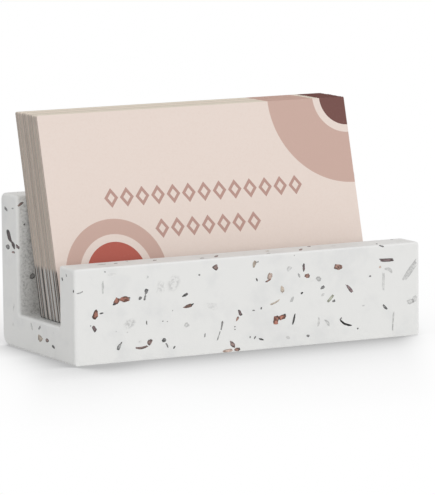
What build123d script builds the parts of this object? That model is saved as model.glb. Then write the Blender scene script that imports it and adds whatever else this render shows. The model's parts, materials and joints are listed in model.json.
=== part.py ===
from build123d import *
import os
from math import acos, atan2, cos, hypot, radians, sin

# Desk holder cast in terrazzo: a channel along X, open at both ends, with a low wall in front (-Y)
# and a taller one behind (+Y). A stack of cards leans back in it, and it stands on four thin pads.
# The origin is on the table under the middle of the holder, +Z is up, and lengths are millimetres.

# Cast holder
holder_length = 100.6
holder_depth = 44.0
back_height = 40.0
front_height = 24.8
back_wall = 10.0
front_wall = 9.0
floor_thickness = 9.0

# Rounding left by the mould and by sanding
rim_radius = 0.6
crown_radius = 2.0
heel_radius = 3.0
toe_radius = 0.4
channel_radius = 0.8
end_radius = 0.6

# Thin non-slip pads stuck to the underside
pad_diameter = 10.0
pad_thickness = 0.2
pad_inset = 9.5
pad_edge = 0.05

# Cards
card_count = 32
card_width = 90.0
card_height = 54.0
card_thickness = 0.36
card_gap = 0.04
stack_offset = -2.55
card_stray = 0.1
stray_turn = 137.5

# Play between the cards and the casting, and the room left free in front of the stack's foot
rim_clearance = 0.1
floor_clearance = 0.05
finger_gap = 3.6

os.makedirs("parts", exist_ok=True)

# Levels and faces that several pieces share
base_z = pad_thickness
channel_z = base_z + floor_thickness
front_z = base_z + front_height
back_z = base_z + back_height
front_y = -holder_depth / 2
back_y = holder_depth / 2
channel_front_y = front_y + front_wall
channel_back_y = back_y - back_wall

# Holder: the channel's end profile, each corner with its own rounding, carried along X and then
# rounded round both ends
profile_corners = [
    ((front_y, base_z), toe_radius),
    ((front_y, front_z), rim_radius),
    ((channel_front_y, front_z), rim_radius),
    ((channel_front_y, channel_z), channel_radius),
    ((channel_back_y, channel_z), channel_radius),
    ((channel_back_y, back_z), rim_radius),
    ((back_y, back_z), crown_radius),
    ((back_y, base_z), heel_radius),
]
corner_points = [point for point, radius in profile_corners]
corner_radii = [radius for point, radius in profile_corners]
with BuildPart() as holder:
    with BuildSketch(Plane.YZ.offset(-holder_length / 2)):
        with BuildLine():
            FilletPolyline(*corner_points, radius=corner_radii, close=True)
        make_face()
    extrude(amount=holder_length)
    ends = holder.faces().sort_by(Axis.X)
    fillet(ends[0].edges() + ends[-1].edges(), radius=end_radius)
holder.part.label = "holder"
export_step(holder.part, "parts/holder.step")

# Pads: thin discs near the corners of the underside, eased where they meet the table
pad_x = holder_length / 2 - pad_inset
pad_y = holder_depth / 2 - pad_inset
pad_places = {
    "pad_front_left": (-pad_x, -pad_y),
    "pad_front_right": (pad_x, -pad_y),
    "pad_back_left": (-pad_x, pad_y),
    "pad_back_right": (pad_x, pad_y),
}
for pad_name, pad_place in pad_places.items():
    with BuildPart() as pad:
        with BuildSketch():
            with Locations(pad_place):
                Circle(pad_diameter / 2)
        extrude(amount=pad_thickness)
        chamfer(pad.edges().group_by(Axis.Z)[0], length=pad_edge)
    pad.part.label = pad_name
    export_step(pad.part, f"parts/{pad_name}.step")

# Cards: the rear one leans on the rounded inner rim of the back wall and the others lie on it one by
# one. The stack's foot stands forward until only the finger gap is left in front of it, which sets
# how far it leans. Each card stands on the channel's floor on the back edge of its own foot, so the
# tops are level
foot_z = channel_z + floor_clearance
rim_y = channel_back_y + rim_radius
rim_z = back_z - rim_radius
stack_thickness = card_count * card_thickness + (card_count - 1) * card_gap
rim_to_front = rim_radius + rim_clearance + stack_thickness
foot_reach = rim_y - channel_front_y - finger_gap
rim_rise = rim_z - foot_z
lean = acos(rim_to_front / hypot(foot_reach, rim_rise)) - atan2(rim_rise, foot_reach)
card_pitch = (card_thickness + card_gap) / cos(lean)
rear_foot_y = rim_y - (rim_radius + rim_clearance + rim_rise * sin(lean)) / cos(lean)
for index in range(card_count):
    foot_x = stack_offset + card_stray * sin(radians(stray_turn * index))
    foot_y = rear_foot_y - (card_count - 1 - index) * card_pitch
    facing = (0, -cos(lean), sin(lean))
    card_back = Plane(origin=(foot_x, foot_y, foot_z), x_dir=(1, 0, 0), z_dir=facing)
    with BuildPart() as card:
        with BuildSketch(card_back):
            Rectangle(card_width, card_height, align=(Align.CENTER, Align.MIN))
        extrude(amount=card_thickness)
    card_name = f"card_{index + 1:02d}"
    card.part.label = card_name
    export_step(card.part, f"parts/{card_name}.step")
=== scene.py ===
"""Looks for a terrazzo card stand: the cast holder with its chips, its pads and its printed cards.

Lengths are metres in the frame's own axes: +X runs along the channel, -Y is the front, +Z is up.
Chips and print are listed in millimetres. In the finishes, a noise is its size, its octaves and the
weight of the finer ones, and a span is where a change starts and ends, then its results at both.
"""

import json
import logging
import math
from dataclasses import dataclass
from enum import Enum

import bpy
import numpy as np
from mathutils import Matrix, Vector

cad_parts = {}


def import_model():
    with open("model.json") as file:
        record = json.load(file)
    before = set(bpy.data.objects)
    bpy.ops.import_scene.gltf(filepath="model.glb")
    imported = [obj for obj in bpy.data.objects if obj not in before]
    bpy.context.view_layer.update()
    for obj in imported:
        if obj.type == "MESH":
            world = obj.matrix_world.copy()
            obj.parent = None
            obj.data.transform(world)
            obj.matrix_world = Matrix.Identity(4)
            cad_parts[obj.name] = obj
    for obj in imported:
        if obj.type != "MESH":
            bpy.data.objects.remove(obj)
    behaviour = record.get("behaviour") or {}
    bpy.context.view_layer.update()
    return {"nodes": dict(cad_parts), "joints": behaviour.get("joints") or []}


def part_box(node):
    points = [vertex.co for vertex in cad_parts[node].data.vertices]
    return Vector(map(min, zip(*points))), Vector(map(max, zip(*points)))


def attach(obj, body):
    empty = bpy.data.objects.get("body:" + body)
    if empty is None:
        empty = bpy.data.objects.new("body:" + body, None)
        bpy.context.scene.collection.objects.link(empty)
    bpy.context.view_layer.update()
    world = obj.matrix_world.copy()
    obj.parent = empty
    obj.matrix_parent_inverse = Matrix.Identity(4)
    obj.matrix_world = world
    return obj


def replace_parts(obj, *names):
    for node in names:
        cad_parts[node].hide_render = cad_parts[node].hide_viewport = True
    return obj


MM = 0.001
QUARTER = math.pi / 2
FULL_TURN = 2 * math.pi

Colour = tuple[float, float, float]
Noise = tuple[float, float, float]
Span = tuple[float, ...]
Inputs = dict[int | str, object]
Socket = bpy.types.NodeSocket
Material = bpy.types.Material
Piece = bpy.types.Object

log = logging.getLogger("card_stand")


class NodeGraph:
    """The nodes of one material, or of the world, while they are put together."""

    LOOKS = ("Base Color", "Roughness", "Normal", "Specular IOR Level")

    def __init__(self, name: str, is_world: bool = False) -> None:
        """Starts an empty material or world.

        Args:
            name: its name.
            is_world: whether it is the world.
        """
        self.owner = (bpy.data.worlds if is_world else bpy.data.materials).new(name)
        self.output_kind = "ShaderNodeOutputWorld" if is_world else "ShaderNodeOutputMaterial"
        self.owner.use_nodes = True
        self.tree = self.owner.node_tree
        self.tree.nodes.clear()

    def add(self, kind: str, inputs: Inputs | None = None, **settings: object) -> bpy.types.NodeOutputs:
        """Adds a node, and links its inputs to outputs or sets their own values.

        Args:
            kind: the node's type name.
            inputs: an output, a number or a colour of three numbers for each input, by name or number.
            settings: properties to set on it.

        Returns:
            The new node's outputs.
        """
        node = self.tree.nodes.new(kind)
        for key, value in settings.items():
            setattr(node, key, value)
        for key, value in (inputs or {}).items():
            socket = node.inputs[key]
            if isinstance(value, Socket):
                self.tree.links.new(value, socket)
            else:
                socket.default_value = (*value, 1.0) if socket.type == "RGBA" else value
        return node.outputs

    def place(self) -> Socket:
        """Gives the Object coordinates, in metres."""
        return self.add("ShaderNodeTexCoord")["Object"]

    def attribute(self, name: str, output: str = "Fac") -> Socket:
        """Gives an attribute of the piece's own mesh."""
        return self.add("ShaderNodeAttribute", attribute_name=name)[output]

    def split(self, vector: Socket) -> list[Socket]:
        """Gives a vector's X, Y and Z."""
        return self.add("ShaderNodeSeparateXYZ", {0: vector})[:]

    def math(self, operation: str, first: object, second: object = 0.0) -> Socket:
        """Joins two numbers by an operation of the Math node."""
        return self.add("ShaderNodeMath", {0: first, 1: second}, operation=operation)[0]

    def times(self, first: object, second: object) -> Socket:
        """Multiplies two numbers."""
        return self.math("MULTIPLY", first, second)

    def between(self, value: Socket, low: float, high: float) -> Socket:
        """Gives 1 where a number lies between two limits and 0 elsewhere."""
        return self.times(self.math("GREATER_THAN", value, low), self.math("LESS_THAN", value, high))

    def ease(self, value: Socket, low: float, high: float, start: float = 0.0, end: float = 1.0) -> Socket:
        """Leads a number smoothly from start, where the value is low, to end, where it is high."""
        inputs = dict(enumerate((value, low, high, start, end)))
        return self.add("ShaderNodeMapRange", inputs, interpolation_type="SMOOTHSTEP")[0]

    def mix(self, factor: object, first: object, second: object, blend: str = "MIX") -> Socket:
        """Mixes two colours, the second by a factor, on inputs 6 and 7 and output 2 of the Mix node."""
        inputs = {0: factor, 6: first, 7: second}
        return self.add("ShaderNodeMix", inputs, data_type="RGBA", blend_type=blend)[2]

    def noise(self, place: Socket, size: float, octaves: float, weight: float) -> Socket:
        """Gives a cloudy number from 0 to 1 at a place."""
        inputs = {"Vector": place, "Scale": 1.0 / size, "Detail": octaves, "Roughness": weight}
        return self.add("ShaderNodeTexNoise", inputs)[0]

    def cells(self, place: Socket, size: float) -> bpy.types.NodeOutputs:
        """Gives the distance and the colour of the nearest of many scattered points."""
        return self.add("ShaderNodeTexVoronoi", {"Vector": place, "Scale": 1.0 / size})

    def bump(self, height: Socket, depth: float, under: Socket | None = None) -> Socket:
        """Turns a height, of which 1 stands for the depth in metres, into a normal on top of another."""
        base = {} if under is None else {"Normal": under}
        return self.add("ShaderNodeBump", {"Distance": depth, "Height": height, **base})[0]

    def matt(self, colour: Socket, noise: Socket, depth: float, gloss: Span, specular: float) -> Material:
        """Closes a material whose bump and roughness follow one noise."""
        return self.finish(colour, self.ease(noise, *gloss), self.bump(noise, depth), specular)

    def finish(self, colour: Socket, roughness: Socket, normal: Socket, specular: float) -> Material:
        """Closes a material by the Principled shader."""
        looks = dict(zip(self.LOOKS, (colour, roughness, normal, specular)))
        return self.close(self.add("ShaderNodeBsdfPrincipled", looks)[0])

    def shown(self, lighting: Socket, view: Socket) -> Material | bpy.types.World:
        """Closes a material or world that looks otherwise than it lights.

        Args:
            lighting: the shader that lights the object.
            view: the shader that camera, glossy and transmission rays see.

        Returns:
            The material or world.
        """
        path = self.add("ShaderNodeLightPath")
        mirrored = self.math("MAXIMUM", path["Is Glossy Ray"], path["Is Transmission Ray"])
        seen = self.math("MAXIMUM", path["Is Camera Ray"], mirrored)
        return self.close(self.add("ShaderNodeMixShader", {0: seen, 1: lighting, 2: view})[0])

    def close(self, shader: Socket) -> Material | bpy.types.World:
        """Links a shader to the output and gives the material or world."""
        self.add(self.output_kind, {"Surface": shader})
        return self.owner


def grid_quads(rows: int, columns: int) -> np.ndarray:
    """Lists the quads of a grid of vertices whose columns close into a ring.

    Quad (i, j) joins vertex (i, j) to (i + 1, j), (i + 1, j + 1) and (i, j + 1).

    Args:
        rows: rows of vertices.
        columns: vertices in each row.

    Returns:
        Vertex indices, four to a row.
    """
    i, j = np.meshgrid(np.arange(rows - 1), np.arange(columns), indexing="ij")
    here, beyond, following = i * columns, (i + 1) * columns, (j + 1) % columns
    return np.stack([here + j, beyond + j, beyond + following, here + following], axis=-1).reshape(-1, 4)


def new_piece(name: str, vertices: np.ndarray, faces: list, materials: list[Material]) -> Piece:
    """Makes a smooth mesh object from computed vertices.

    Args:
        name: the object's name.
        vertices: places, with X, Y and Z last.
        faces: vertex indices of each face.
        materials: the object's materials, in slot order.

    Returns:
        The new object, linked to the scene.
    """
    mesh = bpy.data.meshes.new(name)
    mesh.from_pydata(vertices.reshape(-1, 3).tolist(), [], faces)
    mesh.shade_smooth()
    for material in materials:
        mesh.materials.append(material)
    piece = bpy.data.objects.new(name, mesh)
    bpy.context.scene.collection.objects.link(piece)
    return piece


def set_attribute(piece: Piece, name: str, values: np.ndarray) -> None:
    """Stores one number, or one colour of three numbers, on each vertex.

    Args:
        piece: the object.
        name: the attribute's name.
        values: one row for each vertex.
    """
    kind, field = "FLOAT", "value"
    if values.ndim > 1:
        kind, field = "FLOAT_COLOR", "color"
        values = np.column_stack([values, np.ones(len(values))])
    layer = piece.data.attributes.new(name, kind, "POINT")
    layer.data.foreach_set(field, values.astype(np.float32).ravel())


@dataclass(frozen=True)
class BinderFinish:
    """White cast binder, sanded and sealed outside and left raw in the channel."""

    white: Colour = (0.80, 0.80, 0.785)
    cloud: Colour = (0.745, 0.748, 0.74)
    raw_white: Colour = (0.77, 0.77, 0.755)
    raw_dust: Colour = (0.53, 0.53, 0.515)
    pinhole: Colour = (0.42, 0.41, 0.40)
    # Paler white on the rounded edges: a painted highlight.
    highlight_white: Colour = (0.86, 0.86, 0.848)
    cloud_noise: Noise = (9 * MM, 4.0, 0.6)
    grain_noise: Noise = (0.45 * MM, 3.0, 0.6)
    crust_noise: Noise = (0.7 * MM, 4.0, 0.7)
    cloud_span: Span = (0.45, 0.72)
    highlight_span: Span = (0.35, 0.6, 1.0, 0.55)
    dust_span: Span = (0.42, 0.68)
    hole_span: Span = (0.03, 0.055, 1.0, 0.0)
    hole_spacing: float = 3.2 * MM
    hole_choice: float = 0.8
    grain_depth: float = 0.012 * MM
    crust_depth: float = 0.3 * MM
    hole_depth: float = 0.12 * MM
    gloss: Span = (0.3, 0.7, 0.46, 0.58)
    raw_roughness: float = 0.3
    specular: float = 0.4

    def material(self) -> Material:
        """Builds the binder from clouds, grain and pinholes, raw where the mesh is marked so, and with a
        painted highlight on the rounded edges where the mesh marks them.

        Returns:
            The material.
        """
        graph = NodeGraph("white_terrazzo_binder")
        place = graph.place()
        raw = graph.attribute("raw")
        cloud = graph.ease(graph.noise(place, *self.cloud_noise), *self.cloud_span)
        grain = graph.noise(place, *self.grain_noise)
        crust = graph.noise(place, *self.crust_noise)
        # A painted highlight along the rounded edges, broken up by the crust noise.
        highlight = graph.times(graph.attribute("edge_highlight"), graph.ease(crust, *self.highlight_span))
        sanded = graph.mix(highlight, graph.mix(cloud, self.white, self.cloud), self.highlight_white)
        rough = graph.mix(graph.ease(crust, *self.dust_span), self.raw_white, self.raw_dust)
        hole = self.pinholes(graph, place)
        colour = graph.mix(hole, graph.mix(raw, sanded, rough), self.pinhole)
        skin = graph.bump(grain, self.grain_depth)
        skin = graph.bump(graph.times(crust, raw), self.crust_depth, skin)
        skin = graph.bump(graph.math("SUBTRACT", 1.0, hole), self.hole_depth, skin)
        roughness = graph.math("ADD", graph.times(raw, self.raw_roughness), graph.ease(grain, *self.gloss))
        return graph.finish(colour, roughness, skin, self.specular)

    def pinholes(self, graph: NodeGraph, place: Socket) -> Socket:
        """Gives 1 inside a few small round holes left by air in the casting.

        Args:
            graph: the material.
            place: coordinates to read.

        Returns:
            The holes' mask.
        """
        cells = graph.cells(place, self.hole_spacing)
        chance = graph.add("ShaderNodeSeparateColor", {0: cells["Color"]})[0]
        chosen = graph.math("GREATER_THAN", chance, self.hole_choice)
        return graph.times(chosen, graph.ease(cells["Distance"], *self.hole_span))


class Tint(Enum):
    """Colours of the stone chips in the binder."""

    RUST = (0.285, 0.12, 0.085)
    UMBER = (0.26, 0.15, 0.12)
    CLAY = (0.50, 0.385, 0.33)
    BROWN = (0.23, 0.16, 0.145)
    PLUM = (0.175, 0.125, 0.127)
    SLOE = (0.05, 0.028, 0.03)
    CHARCOAL = (0.05, 0.048, 0.048)
    SLATE = (0.20, 0.198, 0.196)
    ASH = (0.34, 0.34, 0.335)
    MIST = (0.55, 0.55, 0.54)
    TAN = (0.44, 0.375, 0.31)
    SAND = (0.55, 0.48, 0.40)
    OLIVE = (0.46, 0.47, 0.38)
    VEIL = (0.62, 0.62, 0.61)


class Face(Enum):
    """Faces of the holder, the first eight in the order of the profile's runs."""

    FRONT = 0
    FRONT_TOP = 1
    CHANNEL_FRONT = 2
    CHANNEL_FLOOR = 3
    CHANNEL_BACK = 4
    BACK_TOP = 5
    BACK = 6
    UNDERSIDE = 7
    LEFT_END = 8
    RIGHT_END = 9


@dataclass(frozen=True)
class Chip:
    """One stone chip in the holder's surface, in millimetres and degrees.

    On the profile's runs, along is X and across counts from the run's first corner. On the ends,
    along counts from the middle to the viewer's right and across is the height.
    """

    face: Face
    along: float
    across: float
    long: float
    wide: float
    turn: float
    tint: Tint
    bend: float = 0.0
    taper: float = 0.0


@dataclass(frozen=True)
class ChipKind:
    """A kind of strewn chip: how many lie on a square millimetre, how long they are and their tints."""

    per_mm2: float
    shortest: float
    longest: float
    tints: tuple[Tint, ...]


@dataclass(frozen=True)
class Area:
    """Part of a face to strew with chips: its limits along and across the face, in millimetres."""

    face: Face
    left: float
    right: float
    low: float
    high: float

    def size(self) -> float:
        """Gives the size in square millimetres."""
        return (self.right - self.left) * (self.high - self.low)


# Chips placed one by one: along, across, long, wide, turn and tint, then bend and taper
PLACED_CHIPS = {
    Face.FRONT: (
        (-38.5, 15.3, 2.6, 1.5, 40, Tint.RUST, 0.0, 0.3),
        (-36.0, 15.8, 3.1, 1.6, -4, Tint.RUST),
        (-39.0, 14.8, 1.1, 0.5, 30, Tint.CHARCOAL),
        (-34.7, 15.9, 0.7, 0.5, 80, Tint.SLATE),
        (-44.3, 12.5, 2.6, 1.5, 74, Tint.RUST, 0.0, -0.4),
        (-42.6, 12.7, 1.1, 0.45, 8, Tint.CHARCOAL),
        (-44.7, 8.9, 1.9, 1.05, 115, Tint.PLUM, 0.0, -0.3),
        (-45.7, 9.7, 0.4, 0.3, 0, Tint.SLATE),
        (-48.6, 18.4, 1.9, 0.35, 12, Tint.ASH, 0.1),
        (-50.4, 18.8, 0.8, 0.5, 90, Tint.CHARCOAL),
        (-42.1, 19.2, 3.6, 0.8, 88, Tint.MIST),
        (-39.5, 22.4, 3.5, 1.4, 5, Tint.VEIL),
        (-41.5, 23.2, 0.5, 0.4, 0, Tint.ASH),
        (-31.6, 15.7, 1.1, 1.0, 20, Tint.SLATE),
        (-29.9, 17.2, 1.7, 1.1, 70, Tint.SLATE, 0.0, 0.4),
        (-30.3, 15.7, 1.4, 0.6, 75, Tint.SLATE),
        (-25.7, 18.0, 3.9, 2.9, 75, Tint.VEIL),
        (-22.0, 18.8, 5.2, 3.8, 62, Tint.VEIL),
        (-29.6, 21.0, 1.2, 1.0, 20, Tint.VEIL),
        (-18.9, 15.5, 1.9, 0.75, 18, Tint.CHARCOAL, 0.0, 0.5),
        (-18.0, 12.6, 3.2, 1.0, 14, Tint.UMBER, 0.0, 0.3),
        (-16.8, 12.9, 1.0, 0.5, 34, Tint.CHARCOAL),
        (-18.5, 7.8, 1.6, 1.3, 10, Tint.MIST),
        (-34.6, 9.4, 4.2, 3.0, 20, Tint.VEIL),
        (-29.9, 9.3, 1.2, 0.4, 92, Tint.SLATE),
        (-25.3, 9.3, 0.4, 0.3, 0, Tint.SLATE),
        (-24.0, 9.1, 0.35, 0.25, 0, Tint.ASH),
        (-37.7, 3.8, 2.2, 1.0, 52, Tint.ASH, 0.0, -0.4),
        (-37.2, 4.6, 0.9, 0.4, 55, Tint.SLATE),
        (-31.5, 3.1, 4.2, 0.65, 4, Tint.BROWN, 0.1),
        (-29.1, 4.2, 1.9, 1.35, 50, Tint.BROWN),
        (-31.8, 4.5, 1.3, 0.8, 10, Tint.VEIL),
        (-25.0, 4.4, 1.4, 1.2, 15, Tint.SLATE),
        (-24.2, 3.0, 1.6, 0.45, 118, Tint.SLATE),
        (-22.1, 2.3, 0.9, 0.5, 40, Tint.SLATE),
        (-13.3, 4.7, 1.2, 0.5, 80, Tint.ASH),
        (-11.0, 12.0, 4.5, 2.4, -20, Tint.VEIL),
        (-10.0, 22.0, 2.0, 1.7, 10, Tint.BROWN),
        (-14.7, 20.4, 0.6, 0.5, 0, Tint.SLATE),
        (1.3, 22.0, 2.0, 1.15, 72, Tint.TAN, 0.0, 0.3),
        (2.2, 22.5, 0.8, 0.45, 30, Tint.ASH),
        (1.9, 17.9, 1.1, 0.5, 112, Tint.CHARCOAL),
        (5.7, 18.5, 1.9, 1.5, 80, Tint.CLAY),
        (5.2, 17.4, 1.9, 0.55, 22, Tint.UMBER),
        (9.3, 14.9, 2.2, 1.2, 96, Tint.TAN),
        (11.4, 20.1, 1.7, 1.3, 60, Tint.MIST),
        (14.3, 18.1, 1.3, 0.6, 118, Tint.ASH),
        (15.7, 20.1, 2.5, 0.85, 88, Tint.PLUM),
        (16.7, 17.8, 1.7, 1.2, 8, Tint.UMBER),
        (-3.1, 9.7, 1.8, 0.95, 112, Tint.PLUM),
        (-3.8, 8.2, 1.6, 0.8, 52, Tint.UMBER),
        (-4.6, 6.2, 0.4, 0.3, 0, Tint.CHARCOAL),
        (-4.6, 5.5, 0.4, 0.35, 0, Tint.SLATE),
        (-8.4, 6.7, 2.7, 0.5, 78, Tint.SLATE, 0.0, 0.4),
        (-9.3, 4.2, 2.8, 0.35, 68, Tint.ASH),
        (-5.3, 1.7, 2.4, 1.3, 128, Tint.BROWN),
        (-6.8, 0.1, 3.2, 0.9, 2, Tint.CLAY),
        (-4.0, 0.2, 1.8, 1.0, 0, Tint.UMBER),
        (3.1, 10.4, 0.7, 0.55, 60, Tint.CHARCOAL),
        (0.9, 10.0, 0.9, 0.35, 0, Tint.SLATE),
        (7.1, 11.6, 3.3, 0.5, 22, Tint.SAND, 0.08),
        (12.2, 12.0, 1.8, 0.8, 62, Tint.MIST),
        (15.1, 13.4, 0.85, 0.55, 30, Tint.CHARCOAL),
        (7.4, 7.0, 2.5, 1.8, 72, Tint.RUST),
        (9.3, 7.6, 2.8, 1.4, 18, Tint.RUST),
        (9.9, 8.2, 0.9, 0.4, 16, Tint.CHARCOAL),
        (12.6, 6.6, 3.5, 0.65, 74, Tint.CHARCOAL),
        (-0.2, 3.1, 0.6, 0.4, 90, Tint.SLATE),
        (1.2, 2.9, 1.0, 0.5, 48, Tint.SLATE),
        (3.0, 2.3, 1.5, 0.5, -14, Tint.CHARCOAL),
        (10.9, 2.1, 1.3, 0.9, -20, Tint.MIST),
        (18.2, 16.4, 2.4, 0.5, 8, Tint.VEIL),
        (20.1, 16.7, 1.8, 1.3, -30, Tint.MIST),
        (21.2, 14.4, 1.5, 0.9, 24, Tint.SLATE, 0.0, 0.3),
        (21.3, 12.5, 1.2, 0.7, 25, Tint.MIST),
        (23.6, 11.4, 2.7, 0.75, 46, Tint.OLIVE),
        (24.5, 10.6, 1.1, 0.65, 28, Tint.SLATE),
        (25.8, 19.4, 2.7, 1.5, -10, Tint.UMBER),
        (29.1, 13.6, 3.2, 0.95, 134, Tint.PLUM, 0.0, -0.6),
        (40.4, 20.2, 4.6, 0.95, -3, Tint.PLUM),
        (38.9, 24.0, 1.7, 0.5, -18, Tint.SLATE),
        (38.4, 18.5, 0.8, 0.65, 0, Tint.CLAY),
        (35.4, 16.3, 0.7, 0.4, 0, Tint.SLATE),
        (39.4, 14.6, 5.0, 0.9, 88, Tint.MIST),
        (41.0, 17.4, 3.0, 1.1, -28, Tint.MIST, -0.25),
        (47.8, 17.3, 7.6, 1.6, 49, Tint.MIST),
        (47.6, 8.7, 2.4, 1.5, 10, Tint.MIST),
        (48.8, 9.4, 2.3, 1.6, 60, Tint.MIST),
        (39.8, 7.8, 1.9, 0.8, 132, Tint.SLATE),
        (27.7, 4.6, 4.6, 0.34, -31, Tint.CHARCOAL, 0.16),
        (26.6, 5.8, 0.9, 0.5, 60, Tint.SLATE),
        (31.6, 2.8, 0.55, 0.45, 0, Tint.CHARCOAL),
        (16.8, 2.1, 1.0, 0.8, 0, Tint.SLATE),
        (22.5, 4.9, 2.8, 0.8, -54, Tint.MIST, -0.12),
        (19.9, 5.4, 2.6, 0.8, 80, Tint.MIST, 0.15),
        (33.3, 8.7, 0.9, 0.4, 0, Tint.MIST),
        (42.2, 4.0, 5.6, 0.5, 86, Tint.MIST),
    ),
    Face.FRONT_TOP: (
        (-39.8, 4.8, 2.8, 0.9, 8, Tint.ASH),
        (-35.9, 4.7, 1.7, 0.9, 20, Tint.SLATE),
        (-31.7, 6.8, 0.8, 0.7, 0, Tint.BROWN),
        (-24.9, 4.5, 1.6, 1.1, 30, Tint.PLUM),
        (-12.8, 1.7, 1.9, 1.2, 30, Tint.ASH),
        (-8.1, 2.8, 4.2, 0.9, 54, Tint.BROWN),
        (7.7, 4.6, 1.3, 1.0, 20, Tint.TAN),
        (6.0, 0.7, 1.3, 0.8, 0, Tint.ASH),
        (16.5, 2.6, 3.9, 0.9, 54, Tint.BROWN),
        (21.2, 6.6, 1.9, 1.1, 50, Tint.PLUM),
        (27.1, 4.3, 1.8, 1.0, 30, Tint.MIST),
        (38.7, 1.8, 2.0, 0.6, 66, Tint.SLATE),
        (46.2, 7.0, 1.2, 0.9, 30, Tint.ASH),
    ),
    Face.LEFT_END: (
        (-18.3, 35.4, 2.3, 0.85, -26, Tint.SLATE, 0.0, -0.3),
        (-14.3, 36.0, 1.5, 0.4, 6, Tint.ASH),
        (-16.6, 28.6, 4.6, 2.2, -48, Tint.SLOE, 0.06),
        (-14.2, 26.4, 2.9, 1.6, -30, Tint.SLOE),
        (-17.6, 25.6, 2.6, 1.4, 2, Tint.SLATE),
        (-14.2, 24.6, 2.2, 0.6, 4, Tint.BROWN),
        (-14.6, 10.0, 3.6, 1.2, 86, Tint.VEIL),
        (-15.2, 5.6, 1.7, 1.2, 0, Tint.VEIL),
        (-3.7, 6.4, 2.4, 0.9, -58, Tint.MIST),
        (1.1, 6.8, 1.7, 0.8, 36, Tint.ASH),
        (1.6, 4.1, 3.4, 1.7, 2, Tint.TAN, 0.0, -0.7),
        (5.6, 4.1, 2.1, 1.2, 4, Tint.BROWN),
        (9.2, 3.0, 1.9, 0.8, -8, Tint.CHARCOAL),
        (15.2, 21.1, 1.1, 0.7, -50, Tint.CHARCOAL),
        (17.6, 22.4, 1.0, 0.5, -50, Tint.SLATE),
        (9.5, 6.5, 1.7, 0.8, 88, Tint.VEIL),
    ),
    Face.CHANNEL_BACK: (
        (-49.0, 28.3, 2.2, 0.7, 34, Tint.BROWN),
        (-46.0, 9.2, 2.0, 1.7, 20, Tint.SLATE),
        (-50.0, 17.2, 1.6, 0.8, -40, Tint.PLUM),
        (-48.0, 23.0, 0.5, 0.45, 0, Tint.CHARCOAL),
    ),
}


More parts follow.
